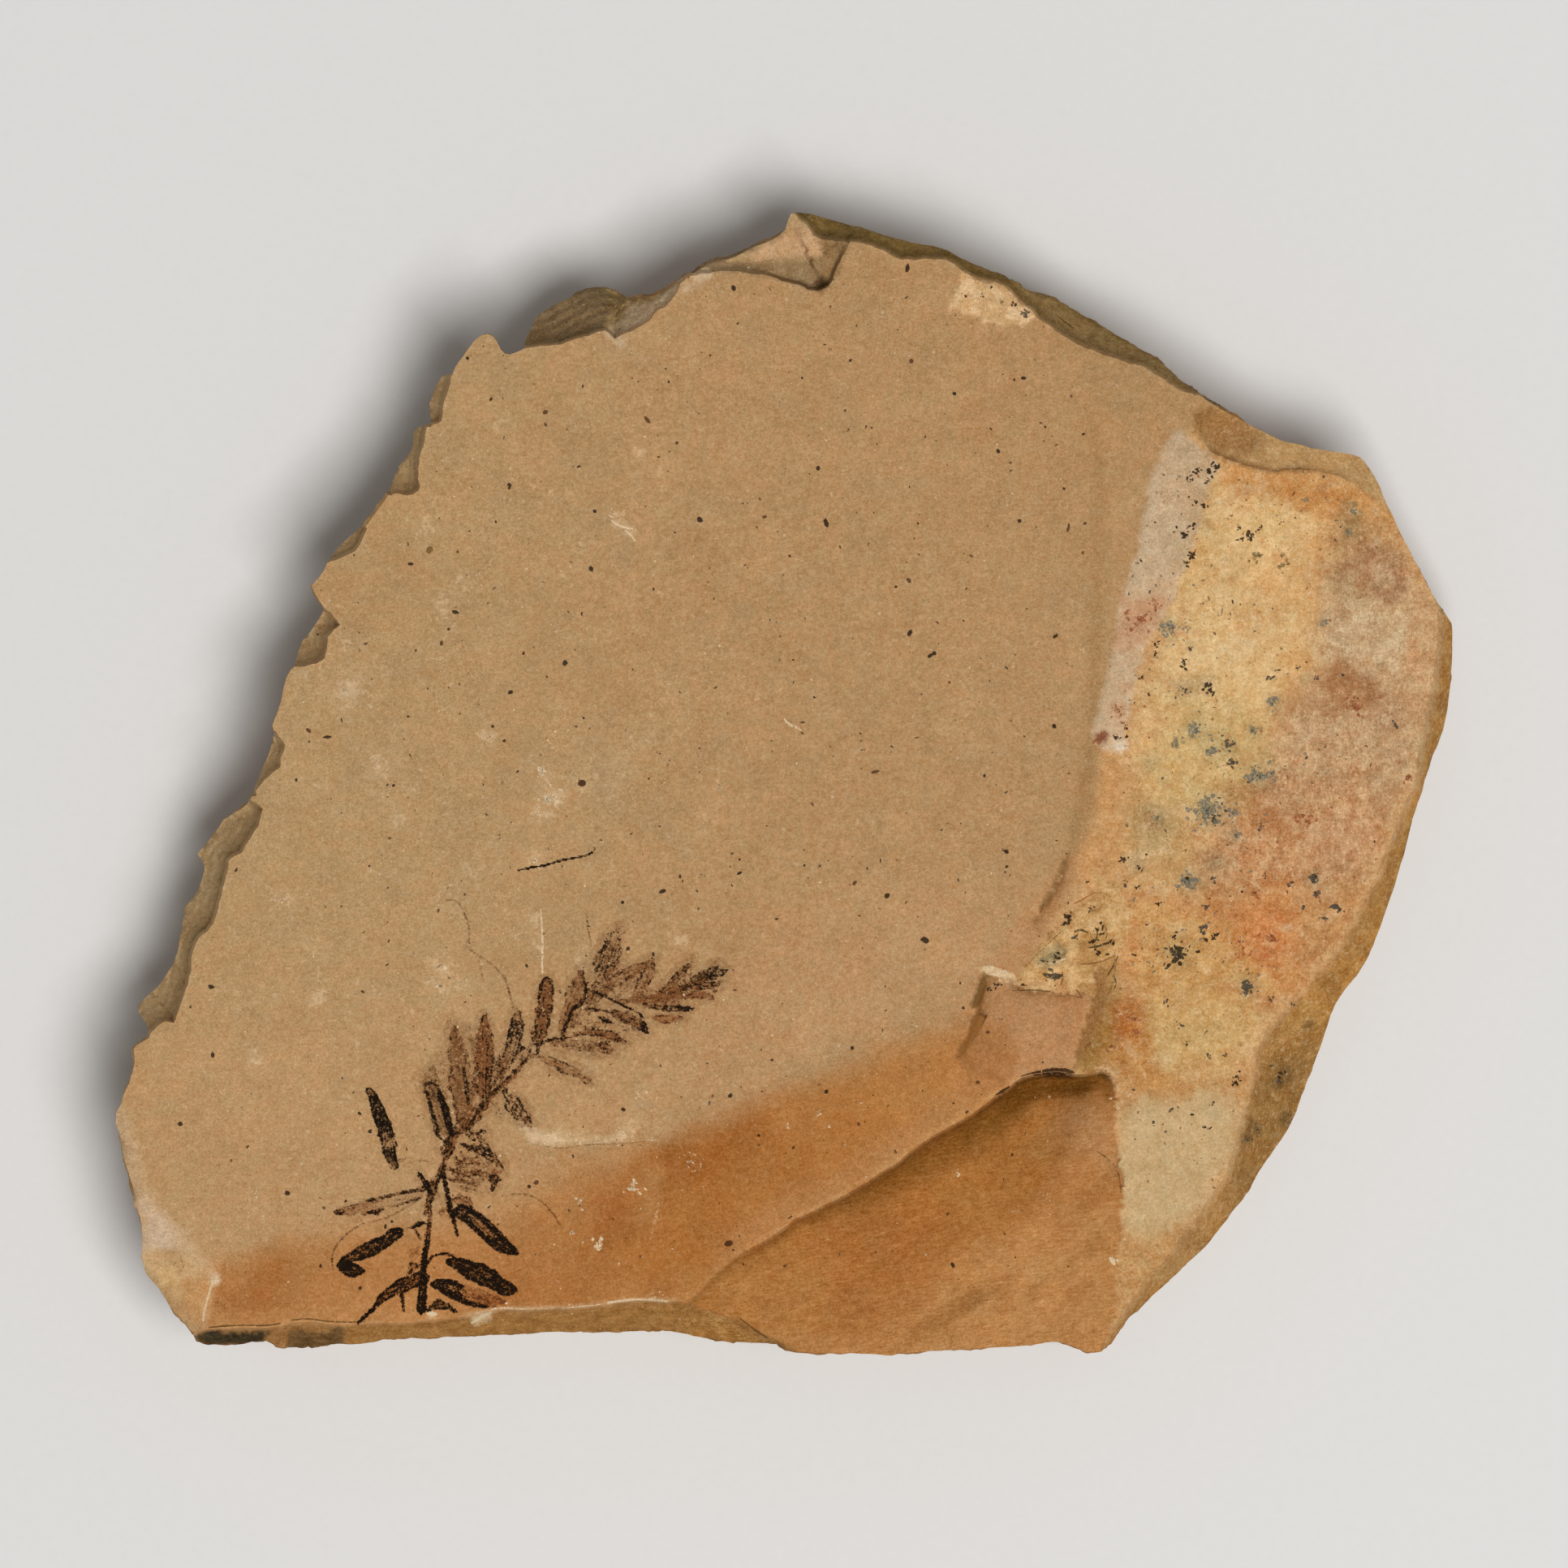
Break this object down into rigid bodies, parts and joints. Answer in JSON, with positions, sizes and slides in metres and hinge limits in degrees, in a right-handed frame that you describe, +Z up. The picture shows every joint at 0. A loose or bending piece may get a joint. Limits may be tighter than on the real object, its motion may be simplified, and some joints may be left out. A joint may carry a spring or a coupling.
{
  "type": "fossil leaf plate",
  "caption": "Broken slab of tan mudstone split along its bedding, with a carbonised conifer twig on the upper face; lies flat on its underside.",
  "frame": {"origin": "middle of the bounding box on the plane of the underside, where the slab rests", "axes": "+X along the longest extent, to the right with the fossil seen the right way up; +Y across the bedding plane, away from the viewer; +Z up through the thickness, the way the fossil faces"},
  "size_m": [0.1654, 0.1412, 0.0261],
  "materials": {
    "mudstone": "matt, fine grained, iron-stained orange along the lower edge and weathered yellow with manganese spots on the right"
  },
  "bodies": {
    "root": {"fossil_slab": "mudstone"}
  },
  "joints": []
}
